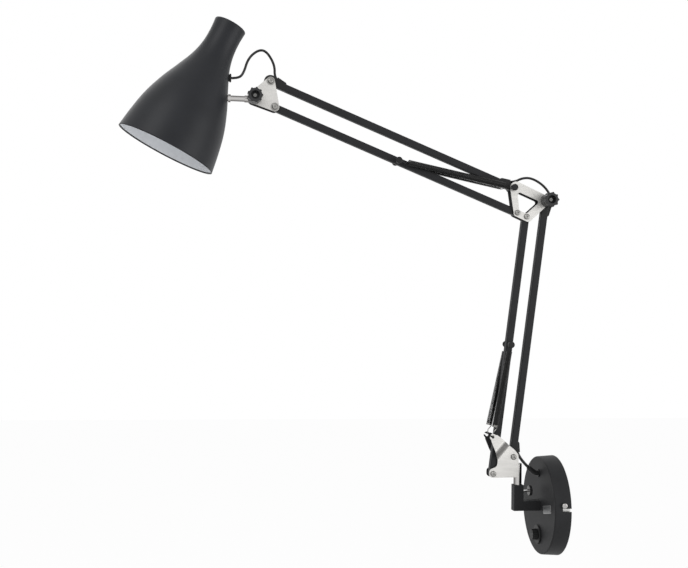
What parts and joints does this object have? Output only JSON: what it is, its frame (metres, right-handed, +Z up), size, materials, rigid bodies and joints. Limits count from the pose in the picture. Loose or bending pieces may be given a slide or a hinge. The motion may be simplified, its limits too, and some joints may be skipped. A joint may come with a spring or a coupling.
{
  "type": "articulating wall lamp",
  "caption": "Wall lamp with two spring-assisted parallelogram arms, a round canopy with switch, a swivelling base and a bell shade that tilts and turns on a head rod.",
  "frame": {"origin": "centre of the round canopy on the wall", "axes": "+Y into the wall, +Z up, +X towards the side with the clamping knobs; the lamp reaches out along -Y"},
  "size_m": [0.1456, 0.6271, 0.7531],
  "materials": {
    "black_paint": "satin black paint",
    "shade_paint": "satin black paint outside, white paint inside",
    "plate_steel": "satin nickel",
    "fasteners": "bright zinc",
    "chrome": "polished",
    "strap_steel": "zinc plated",
    "black_plastic": "fine grain",
    "knob_plastic": "semi-gloss",
    "holder_plastic": "moulded",
    "terminal_plastic": "plain",
    "cord": "smooth sheath",
    "spring_steel": "black finish",
    "brass": "plain"
  },
  "bodies": {
    "wall_base": {"wall_canopy": "black_paint", "wall_strap": "strap_steel", "side_screws": "chrome", "terminal_block": "terminal_plastic", "elbow_bracket": "black_paint", "elbow_nut": "fasteners", "strain_relief": "black_plastic", "switch_body": "black_plastic", "inlet_cord": "cord"},
    "switch_turn": {"switch_knob": "black_plastic"},
    "thumb": {"thumb_screw": "knob_plastic"},
    "swivel": {"swivel_pin": "chrome", "lower_plate_near": "plate_steel", "lower_plate_far": "plate_steel", "lower_cross_screws": "fasteners", "lower_spacers": "black_plastic", "lower_spring_near": "spring_steel", "lower_spring_far": "spring_steel", "base_cord_loop": "cord"},
    "lower_rear_bar": {"lower_rear_tube": "black_paint", "lower_rear_ends": "black_plastic", "lower_rear_cord": "cord"},
    "lower_front_bar": {"lower_front_tube": "black_paint", "lower_front_ends": "black_plastic", "lower_spring_pin": "fasteners", "lower_spring_pin_caps": "black_plastic"},
    "mid_bracket": {"mid_plate_near": "plate_steel", "mid_plate_far": "plate_steel", "mid_cross_screws": "fasteners", "mid_spacers": "black_plastic", "mid_knob_bolt": "fasteners", "mid_spring_pin": "fasteners", "mid_spring_pin_caps": "black_plastic", "upper_spring_near": "spring_steel", "upper_spring_far": "spring_steel", "mid_cord_loop": "cord"},
    "mid_clamp": {"mid_knob": "knob_plastic"},
    "upper_top_bar": {"upper_top_tube": "black_paint", "upper_top_ends": "black_plastic", "upper_top_cord": "cord"},
    "upper_bottom_bar": {"upper_bottom_tube": "black_paint", "upper_bottom_ends": "black_plastic", "upper_spring_pin": "fasteners", "upper_spring_pin_caps": "black_plastic"},
    "head_bracket": {"head_plate_near": "plate_steel", "head_plate_far": "plate_steel", "head_cross_screws": "fasteners", "head_spacers": "fasteners", "head_knob_bolt": "fasteners", "head_cord_loop": "cord"},
    "head_clamp": {"head_knob": "knob_plastic"},
    "head_joint": {"head_rod": "chrome"},
    "head": {"shade": "shade_paint", "rod_collar": "chrome", "rod_nut": "fasteners", "grommet": "black_plastic", "lamp_holder": "holder_plastic", "holder_contact": "brass", "holder_nipple": "fasteners", "shade_cord": "cord"}
  },
  "joints": [
    {"name": "base_swivel", "type": "hinge", "parent": "wall_base", "child": "swivel", "pos_m": [0, -0.055, 0.03], "axis": [0, 0, 1], "range_deg": [-80, 80], "deforming": ["base_cord_loop"]},
    {"name": "lower_arm", "type": "hinge", "parent": "swivel", "child": "lower_rear_bar", "pos_m": [0, -0.0634, 0.0705], "axis": [1, 0, 0], "range_deg": [-1, 85], "deforming": ["lower_spring_near", "lower_spring_far", "base_cord_loop", "mid_cord_loop"]},
    {"name": "lower_front_follow", "type": "hinge", "parent": "swivel", "child": "lower_front_bar", "pos_m": [0, -0.0935, 0.0466], "axis": [1, 0, 0], "range_deg": [-1, 85], "deforming": ["lower_spring_near", "lower_spring_far"]},
    {"name": "mid_follow", "type": "hinge", "parent": "lower_rear_bar", "child": "mid_bracket", "pos_m": [0, -0.0173, 0.44], "axis": [1, 0, 0], "range_deg": [-85, 1], "deforming": ["mid_cord_loop"]},
    {"name": "upper_arm", "type": "hinge", "parent": "mid_bracket", "child": "upper_top_bar", "pos_m": [0, -0.0675, 0.4575], "axis": [1, 0, 0], "range_deg": [-30, 60], "deforming": ["upper_spring_near", "upper_spring_far", "mid_cord_loop", "head_cord_loop"]},
    {"name": "upper_bottom_follow", "type": "hinge", "parent": "mid_bracket", "child": "upper_bottom_bar", "pos_m": [0, -0.0613, 0.4215], "axis": [1, 0, 0], "range_deg": [-30, 60], "deforming": ["upper_spring_near", "upper_spring_far"]},
    {"name": "head_follow", "type": "hinge", "parent": "upper_top_bar", "child": "head_bracket", "pos_m": [0, -0.4205, 0.5957], "axis": [1, 0, 0], "range_deg": [-60, 30], "deforming": ["head_cord_loop"]},
    {"name": "head_tilt", "type": "hinge", "parent": "head_bracket", "child": "head_joint", "pos_m": [0, -0.4432, 0.5713], "axis": [1, 0, 0], "range_deg": [-50, 50], "deforming": ["head_cord_loop"]},
    {"name": "shade_turn", "type": "hinge", "parent": "head_joint", "child": "head", "pos_m": [0, -0.4632, 0.5702], "axis": [0, 1, 0], "range_deg": [-90, 90], "deforming": ["head_cord_loop"]},
    {"name": "mid_knob_turn", "type": "hinge", "parent": "mid_bracket", "child": "mid_clamp", "pos_m": [0, -0.0173, 0.44], "axis": [1, 0, 0], "range_deg": [-180, 180]},
    {"name": "head_knob_turn", "type": "hinge", "parent": "head_bracket", "child": "head_clamp", "pos_m": [0, -0.4432, 0.5713], "axis": [1, 0, 0], "range_deg": [-180, 180]},
    {"name": "thumb_turn", "type": "hinge", "parent": "wall_base", "child": "thumb", "pos_m": [0, -0.0385, 0.021], "axis": [0, 1, 0], "range_deg": [-180, 180]},
    {"name": "switch_turn", "type": "hinge", "parent": "wall_base", "child": "switch_turn", "pos_m": [0, -0.026, -0.042], "axis": [0, 1, 0], "range_deg": [0, 90]}
  ],
  "couplings": [
    {"joint": "lower_front_follow", "follows": "lower_arm", "ratio": 1},
    {"joint": "mid_follow", "follows": "lower_arm", "ratio": -1},
    {"joint": "upper_bottom_follow", "follows": "upper_arm", "ratio": 1},
    {"joint": "head_follow", "follows": "upper_arm", "ratio": -1}
  ]
}
